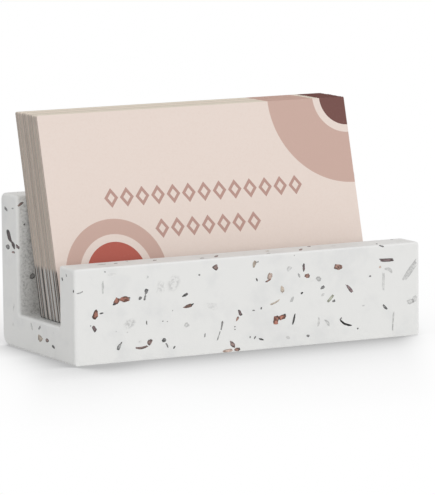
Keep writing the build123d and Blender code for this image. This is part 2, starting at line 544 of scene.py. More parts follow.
@dataclass
class Profile:
    """The holder's end profile in Y and Z: sharp corners, clockwise with Y to the right, each rounded."""

    corners: np.ndarray
    radii: np.ndarray
    raw_runs: tuple[int, ...]

    ARC_STEPS = 6
    RUN_STEPS = 24
    LEAST_ARC = 0.02 * MM
    # Arcs up to this radius get the whole painted edge highlight.
    HIGHLIGHT_RADIUS = 0.8 * MM

    def __post_init__(self) -> None:
        """Works out the runs' directions and measures once round the profile."""
        ahead = np.roll(self.corners, -1, axis=0) - self.corners
        self.way_out = ahead / np.linalg.norm(ahead, axis=1, keepdims=True)
        self.way_in = np.roll(self.way_out, 1, axis=0)
        cross = self.way_in[:, 0] * self.way_out[:, 1] - self.way_in[:, 1] * self.way_out[:, 0]
        self.bulge = -np.sign(cross)
        turn = np.linspace(0.0, QUARTER, self.ARC_STEPS + 1)[None, :, None]
        self.spoke = -np.cos(turn) * self.way_out[:, None] + np.sin(turn) * self.way_in[:, None]
        self.points = self.section(0.0)
        steps = np.linalg.norm(np.diff(self.points, axis=0, append=self.points[:1]), axis=1)
        self.length = np.concatenate([[0.0], np.cumsum(steps)])
        around = self.ARC_STEPS + self.RUN_STEPS
        self.run_start = self.length[np.arange(len(self.corners)) * around + self.ARC_STEPS]
        facing = np.stack([-self.way_out[:, 1], self.way_out[:, 0]], axis=1)
        straight = np.repeat(facing[:, None], self.RUN_STEPS - 1, axis=1)
        rounded = self.bulge[:, None, None] * self.spoke
        self.normals = np.concatenate([rounded, straight], axis=1).reshape(-1, 2)

    def section(self, depth: float, least_arc: float = LEAST_ARC) -> np.ndarray:
        """Traces the profile drawn in by a depth.

        A corner's arc has its centre at the corner plus m times the way out less the way in, and its
        points lie r along each spoke from there. On an outer corner the arc's radius r shrinks by the
        depth, down to the least arc, and m is r plus the depth. On an inner corner r grows and m
        stays. A run goes straight from the end of its arc to the next arc.

        Args:
            depth: how far the section lies inside the profile, in metres.
            least_arc: least radius of an outer corner.

        Returns:
            Places in Y and Z.
        """
        outer = self.bulge > 0.0
        radius = np.where(outer, np.maximum(self.radii - depth, least_arc), self.radii + depth)
        shift = np.where(outer, radius + depth, self.radii)
        centre = self.corners + shift[:, None] * (self.way_out - self.way_in)
        arcs = centre[:, None] + radius[:, None, None] * self.spoke
        share = np.linspace(0.0, 1.0, self.RUN_STEPS + 1)[1:-1][None, :, None]
        run_end = np.roll(arcs[:, 0], -1, axis=0)
        runs = arcs[:, -1:] + share * (run_end - arcs[:, -1])[:, None]
        return np.concatenate([arcs, runs], axis=1).reshape(-1, 2)

    def rawness(self) -> np.ndarray:
        """Tells how raw each point is.

        Returns:
            1 for points on the runs left unsanded and 0 for the rest, eased round the corners.
        """
        is_raw = np.isin(np.arange(len(self.corners)), self.raw_runs).astype(float)
        before = np.roll(is_raw, 1)
        fade = np.linspace(0.0, 1.0, self.ARC_STEPS + 1)
        arcs = before[:, None] + (is_raw - before)[:, None] * fade
        runs = np.repeat(is_raw[:, None], self.RUN_STEPS - 1, axis=1)
        return np.concatenate([arcs, runs], axis=1).ravel()

    def edges(self) -> np.ndarray:
        """Tells each point's painted highlight: most in the middle of a tight outer corner, and 0 on the
        runs.

        Returns:
            A number from 0 to 1 for each point, the sine of its share of the half turn over its arc,
            less on an arc wider than the highlight radius.
        """
        strength = np.where(self.bulge > 0.0, np.minimum(self.HIGHLIGHT_RADIUS / self.radii, 1.0), 0.0)
        arcs = strength[:, None] * np.sin(np.linspace(0.0, math.pi, self.ARC_STEPS + 1))
        return np.pad(arcs, ((0, 0), (0, self.RUN_STEPS - 1))).ravel()

    def at(self, distance: np.ndarray) -> tuple[np.ndarray, np.ndarray]:
        """Finds places on the profile by their distance round it.

        Args:
            distance: distances from the first corner's arc, in metres.

        Returns:
            Places and outward normals, each with Y and Z last.
        """
        wrapped = np.mod(distance, self.length[-1])
        known = np.column_stack([self.points, self.normals])
        closed = np.concatenate([known, known[:1]])
        found = np.stack([np.interp(wrapped, self.length, column) for column in closed.T], axis=-1)
        place, normal = found[..., :2], found[..., 2:]
        return place, normal / np.linalg.norm(normal, axis=-1, keepdims=True)


@dataclass
class Holder:
    """The cast holder: its profile carried along X, with both ends rounded."""

    low: Vector
    high: Vector
    front_height: float = 24.8 * MM
    front_wall: float = 9.0 * MM
    back_wall: float = 10.0 * MM
    floor_thickness: float = 9.0 * MM
    rim_radius: float = 0.6 * MM
    crown_radius: float = 2.0 * MM
    heel_radius: float = 3.0 * MM
    toe_radius: float = 0.4 * MM
    channel_radius: float = 0.8 * MM
    end_radii: tuple[float, float] = (0.8 * MM, 1.1 * MM)
    corner_radius: float = 1.4 * MM
    chip_relief: float = 0.02 * MM

    STATIONS = 121
    END_STEPS = 8
    SANDED_REACH = 0.45 * MM
    RAW_FADE = 0.9 * MM
    RAW_RUNS = (Face.CHANNEL_FRONT.value, Face.CHANNEL_FLOOR.value, Face.CHANNEL_BACK.value)

    def __post_init__(self) -> None:
        """Traces the profile from the holder's box, its walls and its radii."""
        front, back = self.low.y, self.high.y
        base, top = self.low.z, self.high.z
        front_top = base + self.front_height
        channel = base + self.floor_thickness
        inner_front, inner_back = front + self.front_wall, back - self.back_wall
        corners = [(front, base), (front, front_top), (inner_front, front_top), (inner_front, channel)]
        corners += [(inner_back, channel), (inner_back, top), (back, top), (back, base)]
        rim, deep = self.rim_radius, self.channel_radius
        radii = [self.toe_radius, rim, rim, deep, deep, rim, self.crown_radius, self.heel_radius]
        self.profile = Profile(np.array(corners), np.array(radii), self.RAW_RUNS)
        self.half_length = (self.high.x - self.low.x) / 2

    def build(self, finish: Material) -> Piece:
        """Carries the profile along X.

        The skin lies a hair inside the CAD faces, so that the chips come level with them. With r an
        end's radius and s that radius less the hair, the section at angle t of the end's rounding
        stands s sin t beyond the straight part and is drawn in by r - s cos t, and its outer corners'
        least radius grows with 1 - cos t. Its normals lean by t.

        Args:
            finish: the binder's material.

        Returns:
            The holder's object.
        """
        quarter = np.linspace(0.0, QUARTER, self.END_STEPS + 1)[1:]
        turn = np.concatenate([-quarter[::-1], np.zeros(self.STATIONS), quarter])
        radius = self.end_radius(turn)
        skin_radius = radius - self.chip_relief
        left, right = self.end_radii
        middle = np.linspace(left - self.half_length, self.half_length - right, self.STATIONS)
        station = np.pad(middle, self.END_STEPS, "edge") + skin_radius * np.sin(turn)
        depth = radius - skin_radius * np.cos(turn)
        least_arc = Profile.LEAST_ARC + self.corner_radius * (1.0 - np.cos(turn))
        section = np.stack([self.profile.section(d, arc) for d, arc in zip(depth, least_arc)])
        rows, columns = section.shape[:2]
        across = np.broadcast_to(station[:, None, None], (rows, columns, 1))
        ring = np.arange(columns)
        faces = grid_quads(rows, columns).tolist()
        faces += [ring.tolist(), ((rows - 1) * columns + ring[::-1]).tolist()]
        piece = new_piece("cast_holder", np.concatenate([across, section], axis=2), faces, [finish])
        lean = np.broadcast_to(np.sin(turn)[:, None, None], (rows, columns, 1))
        facing = np.cos(turn)[:, None, None] * self.profile.normals[None]
        normals = np.concatenate([lean, facing], axis=2).reshape(-1, 3)
        piece.data.normals_split_custom_set_from_vertices(normals)
        unsanded = np.clip((self.half_length - np.abs(station) - self.SANDED_REACH) / self.RAW_FADE, 0.0, 1.0)
        set_attribute(piece, "raw", np.outer(unsanded, self.profile.rawness()).ravel())
        # The painted edge highlight, also strongest half-way round each end's rounding.
        end_highlight = np.abs(np.sin(2 * turn))[:, None]
        edge_highlight = np.maximum(np.outer(np.cos(turn), self.profile.edges()), end_highlight)
        set_attribute(piece, "edge_highlight", edge_highlight.ravel())
        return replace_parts(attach(piece, "holder"), "holder")

    def end_radius(self, side: np.ndarray) -> np.ndarray:
        """Gives the rounding of the right end where a number is positive, else that of the left end."""
        return np.where(side > 0.0, self.end_radii[1], self.end_radii[0])

    def on_run(self, along: np.ndarray, distance: np.ndarray, depth: np.ndarray) -> np.ndarray:
        """Maps unrolled places on the profile's runs to the surface, round the ends' rounding too.

        Args:
            along: distance along X from the middle.
            distance: distance round the profile.
            depth: depth under the surface.

        Returns:
            Places in X, Y and Z.
        """
        radius = self.end_radius(along)
        straight = self.half_length - radius
        turn = np.clip(np.abs(along) - straight, 0.0, radius * QUARTER) / radius
        side = np.sign(along)
        x = side * (np.minimum(np.abs(along), straight) + (radius - depth) * np.sin(turn))
        place, normal = self.profile.at(distance)
        inset = radius * (1.0 - np.cos(turn)) + depth * np.cos(turn)
        return np.concatenate([x[..., None], place - normal * inset[..., None]], axis=-1)

    def end_room(self, y: np.ndarray, height: np.ndarray) -> np.ndarray:
        """Gives how far a place on an end lies inside its edges.

        An end is the floor's, the front wall's and the back wall's rectangle together. The room in a
        rectangle is the least distance to its sides, and the room on the end is the most of the three.

        Args:
            y: places along Y.
            height: heights over the holder's underside.

        Returns:
            The room, negative outside.
        """
        front, back, full = self.low.y, self.high.y, self.high.z - self.low.z
        walls = (
            (front, back, self.floor_thickness),
            (front, front + self.front_wall, self.front_height),
            (back - self.back_wall, back, full),
        )
        rooms = [np.min([y - a, b - y, height, top - height], axis=0) for a, b, top in walls]
        return np.max(rooms, axis=0)

    def on_end(self, face: Face, along: np.ndarray, height: np.ndarray, depth: np.ndarray) -> np.ndarray:
        """Maps places on an end face to X, Y and Z, over its rounded edges too.

        Where the room m to the edge is less than the rounding's radius r, the surface sinks by r less
        the root of r squared less (r - m) squared.

        Args:
            face: the left or the right end.
            along: distance from the middle to the viewer's right.
            height: height over the holder's underside.
            depth: depth under the surface.

        Returns:
            Places in X, Y and Z.
        """
        side = -1.0 if face is Face.LEFT_END else 1.0
        radius = self.end_radius(np.full_like(along, side))
        past = np.clip(radius - self.end_room(side * along, height), 0.0, radius)
        sink = radius - np.sqrt(radius**2 - past**2)
        x = side * (self.half_length - sink - depth)
        return np.stack([x, side * along, self.low.z + height], axis=-1)


@dataclass(frozen=True)
class ChipFinish:
    """Stone chips, polished with the binder, darker at the rim and some of them half veiled by it."""

    binder: BinderFinish
    mottle_noise: Noise = (0.7 * MM, 3.0, 0.6)
    grain_noise: Noise = (0.25 * MM, 2.0, 0.5)
    patch_noise: Noise = (1.3 * MM, 2.0, 0.5)
    vein_noise: Noise = (0.8 * MM, 2.0, 0.6)
    rim_span: Span = (0.3, 0.8)
    patch_span: Span = (0.38, 0.56, 0.1, 1.0)
    vein_span: Span = (0.54, 0.64, 0.0, 0.8)
    pale_span: Span = (0.35, 0.65)
    veiled_rim: Span = (0.5, 1.0)
    veiled_mottle: Span = (0.4, 0.6)
    dark_slope: float = 1.25
    dark_base: float = 0.04
    light_slope: float = 1.1
    light_base: float = 1.85
    grain_depth: float = 0.01 * MM
    gloss: Span = (0.3, 0.7, 0.36, 0.5)
    specular: float = 0.4

    def material(self) -> Material:
        """Builds the chips' colour from each chip's tint, its rim, dark veins and a fine mottle.

        Returns:
            The material.
        """
        graph = NodeGraph("stone_chip")
        place = graph.place()
        tint = graph.attribute("tint", "Color")
        rim = graph.attribute("rim")
        veil = graph.attribute("veil")
        mottle = graph.noise(place, *self.mottle_noise)
        grain = graph.noise(place, *self.grain_noise)
        patch = graph.ease(graph.noise(place, *self.patch_noise), *self.patch_span)
        vein = graph.ease(graph.noise(place, *self.vein_noise), *self.vein_span)
        shade = graph.math("MAXIMUM", graph.times(graph.ease(rim, *self.rim_span), patch), vein)
        bare_shade = graph.times(shade, graph.math("SUBTRACT", 1.0, veil))
        paleness = graph.add("ShaderNodeRGBToBW", {0: tint})[0]
        darkening = graph.math("ADD", graph.times(paleness, self.dark_slope), self.dark_base)
        lightening = graph.math("SUBTRACT", self.light_base, graph.times(paleness, self.light_slope))
        dark = graph.mix(1.0, tint, darkening, "MULTIPLY")
        light = graph.mix(1.0, tint, lightening, "MULTIPLY")
        stone = graph.mix(graph.ease(mottle, *self.pale_span), tint, light)
        stone = graph.mix(bare_shade, stone, dark)
        veiled = (graph.ease(rim, *self.veiled_rim), graph.ease(mottle, *self.veiled_mottle))
        fade = graph.times(veil, graph.math("MAXIMUM", *veiled))
        colour = graph.mix(fade, stone, self.binder.white)
        skin = graph.bump(grain, self.grain_depth)
        return graph.finish(colour, graph.ease(mottle, *self.gloss), skin, self.specular)


@dataclass
class TerrazzoChips:
    """All the stone chips that show in the holder's surface, as one piece of thin closed flakes.

    Margins, starts and lengths of strewn chips are in millimetres.
    """

    holder: Holder
    seed: int = 41
    flake_depth: float = 0.3 * MM
    list_origin: tuple[float, float] = (-0.15 * MM, 0.45 * MM)
    kinds: tuple[ChipKind, ...] = (
        ChipKind(
            0.013, 1.2, 4.4,
            (Tint.RUST, Tint.UMBER, Tint.CLAY, Tint.BROWN, Tint.PLUM, Tint.SLATE, Tint.ASH, Tint.TAN),
        ),
        ChipKind(
            0.014, 0.4, 1.2,
            (Tint.CHARCOAL, Tint.CHARCOAL, Tint.SLATE, Tint.SLATE, Tint.ASH, Tint.BROWN, Tint.UMBER),
        ),
        ChipKind(0.009, 1.0, 4.0, (Tint.VEIL, Tint.VEIL, Tint.MIST)),
    )

    EDGE_MARGIN = 1.0
    END_MARGIN = 1.5
    RIM_MARGIN = 2.0
    CROWN_MARGIN = 0.5
    FLOOR_START = 8.0
    BACK_START = 6.0
    LENGTH_LAW = (1.2, 2.0)
    WIDTH_SHARES = (0.2, 0.7)
    HALF_TURN = 180.0
    BEND_SPREAD = 0.06
    TAPER_LIMIT = 0.4
    SPOKES = 20
    BREAKS = 6
    CRACK_STRAY = 0.35
    CRACK_REACH = (0.78, 1.02)
    LEAST_SLANT = 0.2
    ROUGHNESS = 0.06
    BLUNTNESS = (0.8, 1.1)
    SPLINTER = 0.35
    INNER_RING = 0.6
    LAP_ROOM = 0.012 * MM
    EDGE_ROOM = 0.15 * MM
    TONES = (0.82, 1.18)
    VEILED = {Tint.VEIL: 0.9, Tint.MIST: 0.25}

    def areas(self) -> list[Area]:
        """Lists the areas that have no listed chips.

        Returns:
            The areas.
        """
        h = self.holder
        edge, end, rim = self.EDGE_MARGIN, self.END_MARGIN, self.RIM_MARGIN
        span = h.half_length / MM - end
        back_height = (h.high.z - h.low.z) / MM
        depth = (h.high.y - h.low.y) / MM
        wall, rear = h.front_wall / MM, h.back_wall / MM
        floor, front_height = h.floor_thickness / MM, h.front_height / MM
        channel = depth - wall - rear
        return [
            Area(Face.CHANNEL_FRONT, -span, span, rim, front_height - floor - edge),
            Area(Face.CHANNEL_FLOOR, -span + self.FLOOR_START, span, edge, channel - edge),
            Area(Face.CHANNEL_BACK, -span + self.BACK_START, span, edge, back_height - floor - edge),
            Area(Face.BACK_TOP, -span, span, edge, rear - edge),
            Area(Face.BACK, -span, span, self.CROWN_MARGIN, back_height - edge),
            Area(Face.UNDERSIDE, -span, span, edge, depth - edge),
            Area(Face.RIGHT_END, -depth / 2 + rim, depth / 2 - rim, edge, floor - end),
            Area(Face.RIGHT_END, depth / 2 - rear + end, depth / 2 - rim, floor, back_height - rim),
            Area(Face.RIGHT_END, -depth / 2 + rim, -depth / 2 + wall - end, floor, front_height - rim),
        ]

    def scattered(self, rng: np.random.Generator) -> list[Chip]:
        """Strews chips of every kind over the areas.

        Args:
            rng: source of chance.

        Returns:
            The chips.
        """
        chips: list[Chip] = []
        for area in self.areas():
            for kind in self.kinds:
                count = rng.poisson(area.size() * kind.per_mm2)
                chips += [self.strewn(area, kind, rng) for _ in range(count)]
        return chips

    def strewn(self, area: Area, kind: ChipKind, rng: np.random.Generator) -> Chip:
        """Draws one chip by chance.

        Args:
            area: where it lies.
            kind: its kind.
            rng: source of chance.

        Returns:
            The chip.
        """
        long = kind.shortest * (kind.longest / kind.shortest) ** rng.beta(*self.LENGTH_LAW)
        place = rng.uniform(area.left, area.right), rng.uniform(area.low, area.high)
        wide = long * rng.uniform(*self.WIDTH_SHARES)
        turn = rng.uniform(0.0, self.HALF_TURN)
        tint = kind.tints[rng.integers(len(kind.tints))]
        bend = rng.normal(0.0, self.BEND_SPREAD)
        taper = rng.uniform(-self.TAPER_LIMIT, self.TAPER_LIMIT)
        return Chip(area.face, *place, long, wide, turn, tint, bend, taper)

    def outline(self, chips: list[Chip], rng: np.random.Generator) -> np.ndarray:
        """Draws every chip's outline round its own middle.

        A chip is a stone broken along several straight cracks: its radius at an angle is the least of
        d / cos(angle - a), over cracks at distances d that face the angles a. That unit shape is
        roughened, and a splinter's ends are made blunter by raising the angle's cosine and sine to a
        power. It is stretched until it just fills the chip's length and width, narrowed towards one
        end by its taper, arched into a parabola as high as its bend times its length, and turned.

        Args:
            chips: the chips.
            rng: source of chance.

        Returns:
            Places for each chip and spoke, in metres along and across.
        """
        count, breaks = len(chips), self.BREAKS
        size = np.array([(c.long, c.wide) for c in chips])[:, None] * MM / 2
        turn, bend, taper = np.array([(math.radians(c.turn), c.bend, c.taper) for c in chips]).T[..., None]
        angle = np.arange(self.SPOKES)[None] * FULL_TURN / self.SPOKES
        stray = rng.uniform(-self.CRACK_STRAY, self.CRACK_STRAY, (count, breaks))
        crack = (np.arange(breaks) + stray) * FULL_TURN / breaks
        crack = crack + rng.uniform(0.0, FULL_TURN, (count, 1))
        reach = rng.uniform(*self.CRACK_REACH, (count, breaks))
        slant = np.maximum(np.cos(angle[:, :, None] - crack[:, None]), self.LEAST_SLANT)
        rough = rng.normal(0.0, self.ROUGHNESS, (count, self.SPOKES))
        radius = (reach[:, None] / slant).min(axis=2) + rough
        thin = np.minimum(size[..., 1] / size[..., 0] / self.SPLINTER, 1.0)
        blunt = rng.uniform(*self.BLUNTNESS, (count, 1)) * np.sqrt(thin)
        p, q = (radius * np.sign(wave) * np.abs(wave) ** blunt for wave in (np.cos(angle), np.sin(angle)))
        p, q = (size[..., k] * way / np.abs(way).max(axis=1, keepdims=True) for k, way in enumerate((p, q)))
        q = q * (1.0 + taper * np.cos(angle))
        q = q + bend * 2 * size[..., 0] * ((p / size[..., 0]) ** 2 - 0.5)
        return np.stack([p * np.cos(turn) - q * np.sin(turn), p * np.sin(turn) + q * np.cos(turn)], axis=-1)

    def build(self, finish: Material) -> Piece:
        """Makes the flakes and joins them into one mesh.

        A flake has a middle point, an inner ring and its outline level with the holder's faces, and a
        middle point below the surface, to which its underside runs like a cone. It is shaded as the
        face it lies in, by the way from a point below the surface to the one over it. With a its
        length times its width in square millimetres, it lies deeper by a / (a + 1) of the lap's room,
        so that a small chip shows over a larger one.

        Args:
            finish: the chips' material.

        Returns:
            The chips' object.
        """
        rng = np.random.default_rng(self.seed)
        by_hand = [Chip(face, *row) for face, rows in PLACED_CHIPS.items() for row in rows]
        chips = by_hand + self.scattered(rng)
        outline = self.outline(chips, rng)
        fits = self.fitting(chips, outline)
        chips, outline = [chip for chip, fit in zip(chips, fits) if fit], outline[fits]
        count, spokes = outline.shape[:2]
        reach = np.array([0.0] + [self.INNER_RING] * spokes + [1.0] * spokes + [0.0])
        sunk = np.array([0.0] * (1 + 2 * spokes) + [self.flake_depth])
        corner = np.concatenate([[0], np.tile(np.arange(spokes), 2), [0]])
        flat = outline[:, corner] * reach[None, :, None]
        area = np.array([c.long * c.wide for c in chips])[:, None]
        depth = sunk + self.LAP_ROOM * area / (area + 1.0)
        level = np.zeros_like(depth)
        outward = self.placed(chips, flat, level) - self.placed(chips, flat, level + self.flake_depth)
        outward /= np.linalg.norm(outward, axis=-1, keepdims=True)
        faces = self.flake_faces(count, spokes)
        piece = new_piece("terrazzo_chips", self.placed(chips, flat, depth), faces, [finish])
        piece.data.normals_split_custom_set_from_vertices(outward.reshape(-1, 3))
        tint = np.array([c.tint.value for c in chips]) * rng.uniform(*self.TONES, (count, 1))
        veil = np.array([self.VEILED.get(c.tint, 0.0) for c in chips])
        set_attribute(piece, "tint", np.repeat(tint, len(reach), axis=0))
        set_attribute(piece, "rim", np.tile(reach, count))
        set_attribute(piece, "veil", np.repeat(veil, len(reach)))
        log.info("%d chips in the terrazzo", count)
        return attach(piece, "holder")

    def fitting(self, chips: list[Chip], outline: np.ndarray) -> np.ndarray:
        """Tells which chips may stay.

        A chip on an end has to lie inside its edges and one on the underside behind the front's toe.

        Args:
            chips: the chips.
            outline: each chip's outline round its own middle.

        Returns:
            True for each chip that may stay.
        """
        left, right, under = (self.lying(chips, f) for f in (Face.LEFT_END, Face.RIGHT_END, Face.UNDERSIDE))
        along, across = np.moveaxis(self.listed(chips) + outline, -1, 0)
        side = np.where(left, -1.0, 1.0)[:, None]
        inside = self.holder.end_room(side * along, across).min(axis=1) > self.EDGE_ROOM
        toe = self.holder.high.y - self.holder.low.y - self.EDGE_ROOM
        return np.where(left | right, inside, ~under | (across.max(axis=1) < toe))

    @staticmethod
    def lying(chips: list[Chip], face: Face) -> np.ndarray:
        """Tells which chips lie on a face."""
        return np.array([c.face is face for c in chips])

    def listed(self, chips: list[Chip]) -> np.ndarray:
        """Gives the chips' own places along and across their faces, in metres, as a column of points."""
        return np.array([(c.along, c.across) for c in chips])[:, None] * MM + np.array(self.list_origin)

    def placed(self, chips: list[Chip], flat: np.ndarray, depth: np.ndarray) -> np.ndarray:
        """Lays the flakes on their faces.

        Args:
            chips: the chips.
            flat: each flake's points round its own middle, along and across.
            depth: each point's depth under the surface.

        Returns:
            Places in X, Y and Z for each chip and point.
        """
        profile = self.holder.profile
        run = np.array([min(c.face.value, Face.UNDERSIDE.value) for c in chips])
        start = profile.run_start[run] - profile.radii[run]
        along, across = np.moveaxis(self.listed(chips) + flat, -1, 0)
        vertices = self.holder.on_run(along, start[:, None] + across, depth)
        for face in (Face.LEFT_END, Face.RIGHT_END):
            here = self.lying(chips, face)
            vertices[here] = self.holder.on_end(face, along[here], across[here], depth[here])
        return vertices

    @staticmethod
    def flake_faces(count: int, spokes: int) -> list:
        """Lists the faces of all flakes: a fan, a band and the cone below each.

        Args:
            count: flakes.
            spokes: points round each outline.

        Returns:
            Vertex indices of each face.
        """
        here = np.arange(spokes)
        following = (here + 1) % spokes
        inner, outer, last = 1, 1 + spokes, 1 + 2 * spokes
        fan = np.stack([np.zeros(spokes, int), inner + here, inner + following], axis=1)
        band = np.stack([inner + here, outer + here, outer + following, inner + following], axis=1)
        cone = np.stack([np.full(spokes, last), outer + following, outer + here], axis=1)
        base = np.arange(count)[:, None, None] * (last + 1)
        triangles = (base + np.concatenate([fan, cone])[None]).reshape(-1, 3)
        quads = (base + band[None]).reshape(-1, 4)
        return triangles.tolist() + quads.tolist()


class Ink(Enum):
    """Inks of the cards' print."""

    PINK = (0.60, 0.415, 0.355)
    BROWN = (0.175, 0.075, 0.065)
    TERRACOTTA = (0.47, 0.115, 0.085)
    ROSE = (0.50, 0.31, 0.265)


@dataclass(frozen=True)
class Ring:
    """A printed ring, or a disc if its inner radius is negative, in millimetres from the lower left."""

    middle: tuple[float, float]
    inner: float
    outer: float
    ink: Ink


@dataclass(frozen=True)
class LozengeRow:
    """A printed row of hollow lozenges, in millimetres from the lower left."""

    middle: tuple[float, float]
    count: int
    ink: Ink
    pitch: float = 4.5
    width: float = 4.0
    height: float = 5.2
    hollow: float = 0.5


@dataclass(frozen=True)
class PrintLayout:
    """A plain print for the cards' fronts: rings in two corners and two rows of lozenges in the middle."""

    width: float = 90.0
    height: float = 54.0
    rings: tuple[Ring, ...] = (
        Ring((90.0, 54.0), -1.0, 7.5, Ink.BROWN),
        Ring((90.0, 54.0), 9.5, 23.0, Ink.PINK),
        Ring((17.0, 11.5), -1.0, 8.5, Ink.TERRACOTTA),
        Ring((17.0, 11.5), 10.5, 14.5, Ink.PINK),
    )
    rows: tuple[LozengeRow, ...] = (
        LozengeRow((45.0, 31.4), 13, Ink.ROSE),
        LozengeRow((45.0, 22.6), 7, Ink.ROSE),
    )


class CardGraph(NodeGraph):
    """A card's material, with the millimetres across and up the card from the card's own UV map."""

    def __init__(self, name: str, layout: PrintLayout) -> None:
        """Starts the material with its two rulers.

        Args:
            name: its name.
            layout: the card's size and print.
        """
        super().__init__(name)
        self.layout = layout
        across, up, _ = self.split(self.add("ShaderNodeUVMap", uv_map="card")[0])
        self.across, self.up = self.times(across, layout.width), self.times(up, layout.height)

    def printed(self, colour: Socket) -> Socket:
        """Lays the print over a colour.

        Args:
            colour: the bare stock.

        Returns:
            The printed colour.
        """
        for ring in self.layout.rings:
            colour = self.mix(self.ring(ring), colour, ring.ink.value)
        for row in self.layout.rows:
            colour = self.mix(self.lozenges(row), colour, row.ink.value)
        return colour

    def offset(self, middle: tuple[float, float]) -> tuple[Socket, Socket]:
        """Gives the millimetres across and up from a point of the card."""
        return self.math("SUBTRACT", self.across, middle[0]), self.math("SUBTRACT", self.up, middle[1])

    def ring(self, ring: Ring) -> Socket:
        """Gives 1 on a ring, by the distance from its middle."""
        squares = (self.times(d, d) for d in self.offset(ring.middle))
        return self.between(self.math("SQRT", self.math("ADD", *squares)), ring.inner, ring.outer)

    def lozenges(self, row: LozengeRow) -> Socket:
        """Gives 1 on the outlines of a row of lozenges.

        With a and b the distances across and up from the nearest lozenge's middle, 2a / width plus
        2b / height is 1 on its edge and falls to 0 at its middle.

        Args:
            row: the row.

        Returns:
            The row's mask.
        """
        off, rise = self.offset(row.middle)
        first = 0.0 if row.count % 2 else row.pitch / 2
        aside = self.times(self.math("PINGPONG", self.math("ADD", off, first), row.pitch / 2), 2 / row.width)
        level = self.math("ADD", aside, self.times(self.math("ABSOLUTE", rise), 2 / row.height))
        half = row.count * row.pitch / 2
        return self.times(self.between(off, -half, half), self.between(level, row.hollow, 1.0))


@dataclass(frozen=True)
class CardFinish:
    """Uncoated blush card: printed front, plain back and bare cut edges.

    A matt look is the bump's depth, the span of the roughness and the specular level. What lies
    across or up the card is in millimetres.
    """

    stock: Colour = (0.82, 0.706, 0.642)
    fibre: Colour = (0.805, 0.686, 0.619)
    back: Colour = (0.80, 0.745, 0.69)
    # Cut-edge colours by tone; the dark ones partly stand for painted shade in the gaps between cards.
    edge_pale: Colour = (0.545, 0.49, 0.43)
    edge_dark: Colour = (0.405, 0.363, 0.32)
    # Painted shade low on the stack's edges, inside the channel: near-black and grey stripes.
    shaded_foot_pale: Colour = (0.61, 0.615, 0.60)
    shaded_foot_dark: Colour = (0.018, 0.018, 0.017)
    # Paler top edges: painted light from above.
    lit_top_pale: Colour = (0.80, 0.75, 0.635)
    lit_top_dark: Colour = (0.59, 0.54, 0.45)
    face_noise: Noise = (0.6 * MM, 4.0, 0.65)
    edge_noise: Noise = (1.4 * MM, 3.0, 0.6)
    fibre_span: Span = (0.4, 0.75)
    rubbed_span: Span = (0.55, 0.95, 0.0, 0.22)
    level_span: Span = (0.1, 1.2)
    # A tone this high paints the edge as lit: a highlight on the front card's edge.
    front_highlight_span: Span = (1.45, 1.6)
    edge_stray: float = 0.35
    # How high the painted foot shade reaches, as a share of the card's height, and its soft edge.
    shaded_foot_share: float = 0.25
    shaded_foot_blur: float = 0.8
    face_matt: tuple[float, Span, float] = (0.012 * MM, (0.3, 0.7, 0.62, 0.74), 0.3)
    edge_matt: tuple[float, Span, float] = (0.02 * MM, (0.3, 0.7, 0.75, 0.9), 0.2)
    layout: PrintLayout = PrintLayout()

    def front(self) -> Material:
        """Builds the printed front on the card's own UV map.

        Returns:
            The material.
        """
        graph = CardGraph("printed_card_front", self.layout)
        fibre = graph.noise(graph.place(), *self.face_noise)
        colour = graph.printed(graph.mix(graph.ease(fibre, *self.fibre_span), self.stock, self.fibre))
        rubbed = graph.mix(graph.ease(fibre, *self.rubbed_span), colour, self.stock)
        return graph.matt(rubbed, fibre, *self.face_matt)

    def plain_back(self) -> Material:
        """Builds the plain back.

        Returns:
            The material.
        """
        graph = NodeGraph("plain_card_back")
        fibre = graph.noise(graph.place(), *self.face_noise)
        colour = graph.mix(graph.ease(fibre, *self.fibre_span), self.back, self.fibre)
        return graph.matt(colour, fibre, *self.face_matt)

    def cut_edge(self) -> Material:
        """Builds the cut edges by each card's tone: stripes of painted shade at the foot, a painted highlight
        on the front card's edge, and top edges painted paler for light from above, with the print on them.

        Returns:
            The material.
        """
        graph = CardGraph("cut_card_edge", self.layout)
        fibre = graph.noise(graph.place(), *self.edge_noise)
        tone = graph.math("ADD", graph.attribute("tone"), graph.times(fibre, self.edge_stray))
        level = graph.ease(tone, *self.level_span)
        side = graph.mix(level, self.edge_dark, self.edge_pale)
        # The front card's edge gets a painted highlight.
        side = graph.mix(graph.ease(tone, *self.front_highlight_span), side, self.stock)
        # Painted shade in dark and grey stripes, low on the edges up to the channel's height.
        shaded_foot_top = self.shaded_foot_share * self.layout.height
        foot = graph.ease(graph.up, shaded_foot_top - self.shaded_foot_blur, shaded_foot_top + self.shaded_foot_blur, 1.0, 0.0)
        side = graph.mix(foot, side, graph.mix(graph.attribute("foot"), self.shaded_foot_dark, self.shaded_foot_pale))
        # Top edges painted paler, as lit from above, with the print over them.
        top = graph.printed(graph.mix(level, self.lit_top_dark, self.lit_top_pale))
        colour = graph.mix(graph.attribute("rise"), side, top)
        return graph.matt(colour, fibre, *self.edge_matt)


